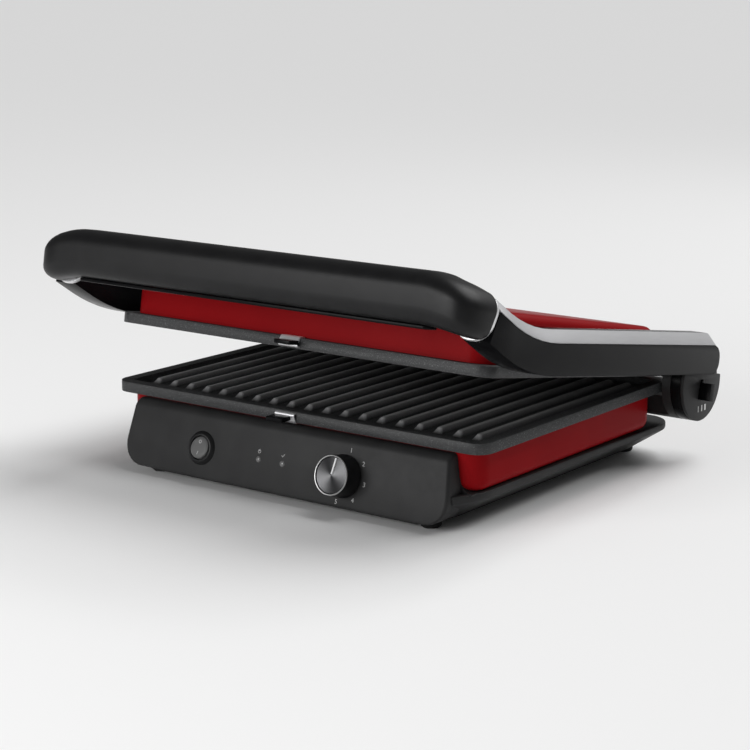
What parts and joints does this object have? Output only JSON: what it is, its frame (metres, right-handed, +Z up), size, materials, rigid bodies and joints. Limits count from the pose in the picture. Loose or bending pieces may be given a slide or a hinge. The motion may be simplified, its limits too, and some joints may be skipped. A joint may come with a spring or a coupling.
{
  "type": "contact grill",
  "caption": "Tabletop electric contact grill with ribbed upper and lower plates, hinged lid on two arms, thick bar grip, sloping control panel with knob and rocker switch.",
  "frame": {"origin": "middle of the bounding box's underside, on the table plane the feet stand on", "axes": "+X to the right seen from the control panel, +Y towards the hinge at the back, +Z up"},
  "size_m": [0.3859, 0.346, 0.1821],
  "materials": {
    "matt_black": "matt, fine grained",
    "satin_black": "satin",
    "gloss_black": "gloss",
    "red_paint": "gloss dark red enamel",
    "cast_plate": "cast, dark non-stick coating, slight sparkle",
    "satin_steel": "satin",
    "chrome": "polished",
    "spun_metal": "spun, dark",
    "grey_plastic": "satin",
    "lens": "smoked, unlit",
    "rubber": "matt",
    "aluminium": "bright",
    "white_inlay": "white",
    "cream_plastic": "satin"
  },
  "bodies": {
    "base": {"base_shell": "matt_black", "base_bottom_cover": "matt_black", "foot_1": "rubber", "foot_2": "rubber", "foot_3": "rubber", "foot_4": "rubber", "cover_screw_1": "satin_steel", "cover_screw_2": "satin_steel", "cover_screw_3": "satin_steel", "cover_screw_4": "satin_steel", "cord_gland": "rubber", "terminal_block": "cream_plastic", "thermal_fuse": "aluminium", "lower_red_housing": "red_paint", "lower_heating_element": "satin_steel", "lower_reflector": "aluminium", "lower_grill_plate": "cast_plate", "hinge_bracket_right": "matt_black", "hinge_bracket_left": "matt_black", "hinge_pin_right": "satin_steel", "hinge_pin_left": "satin_steel", "thermostat_body": "cream_plastic", "switch_bezel": "satin_black", "switch_body": "satin_black", "lens_power": "lens", "lens_ready": "lens"},
    "lid": {"arm_right": "gloss_black", "arm_left": "gloss_black", "arm_trim_right": "satin_steel", "arm_trim_left": "satin_steel", "grip_ring_right": "chrome", "grip_ring_left": "chrome", "grip_screw_right": "satin_steel", "grip_screw_left": "satin_steel", "handle_grip": "satin_black", "handle_insert": "gloss_black", "hinge_cap_right": "matt_black", "hinge_cap_left": "matt_black"},
    "upper_housing": {"upper_red_housing": "red_paint", "upper_heating_element": "satin_steel", "upper_reflector": "aluminium", "upper_grill_plate": "cast_plate"},
    "lower_clip": {"lower_release_clip": "chrome", "lower_release_tab": "gloss_black"},
    "upper_clip": {"upper_release_clip": "chrome", "upper_release_tab": "gloss_black"},
    "knob": {"knob_body": "satin_black", "knob_face": "spun_metal", "knob_pointer": "white_inlay", "thermostat_shaft": "satin_steel"},
    "rocker": {"power_rocker": "grey_plastic"},
    "selector": {"height_selector": "gloss_black"}
  },
  "joints": [
    {"name": "lid_hinge", "type": "hinge", "parent": "base", "child": "lid", "pos_m": [0, 0.14399, 0.0608], "axis": [-1, 0, 0], "range_deg": [-9.6, 168.4]},
    {"name": "upper_housing_float", "type": "hinge", "parent": "lid", "child": "upper_housing", "pos_m": [0, 0.14399, 0.0608], "axis": [-1, 0, 0], "range_deg": [0, 3]},
    {"name": "lower_clip_slide", "type": "slide", "parent": "base", "child": "lower_clip", "axis": [0, -1, 0], "range_m": [0, 0.0035], "stiffness_N_per_m": 1500, "springref_m": -0.001},
    {"name": "upper_clip_slide", "type": "slide", "parent": "upper_housing", "child": "upper_clip", "axis": [0, -0.986, 0.1668], "range_m": [0, 0.0035], "stiffness_N_per_m": 1500, "springref_m": -0.001},
    {"name": "thermostat_knob_turn", "type": "hinge", "parent": "base", "child": "knob", "pos_m": [0.058, -0.1279, 0.027], "axis": [0, 0.9659, -0.2588], "range_deg": [0, 180]},
    {"name": "power_rocker_tilt", "type": "hinge", "parent": "base", "child": "rocker", "pos_m": [-0.071, -0.12868, 0.02721], "axis": [1, 0, 0], "range_deg": [0, 20]},
    {"name": "height_selector_turn", "type": "hinge", "parent": "lid", "child": "selector", "pos_m": [0, 0.14399, 0.0608], "axis": [1, 0, 0], "range_deg": [0, 28]}
  ]
}
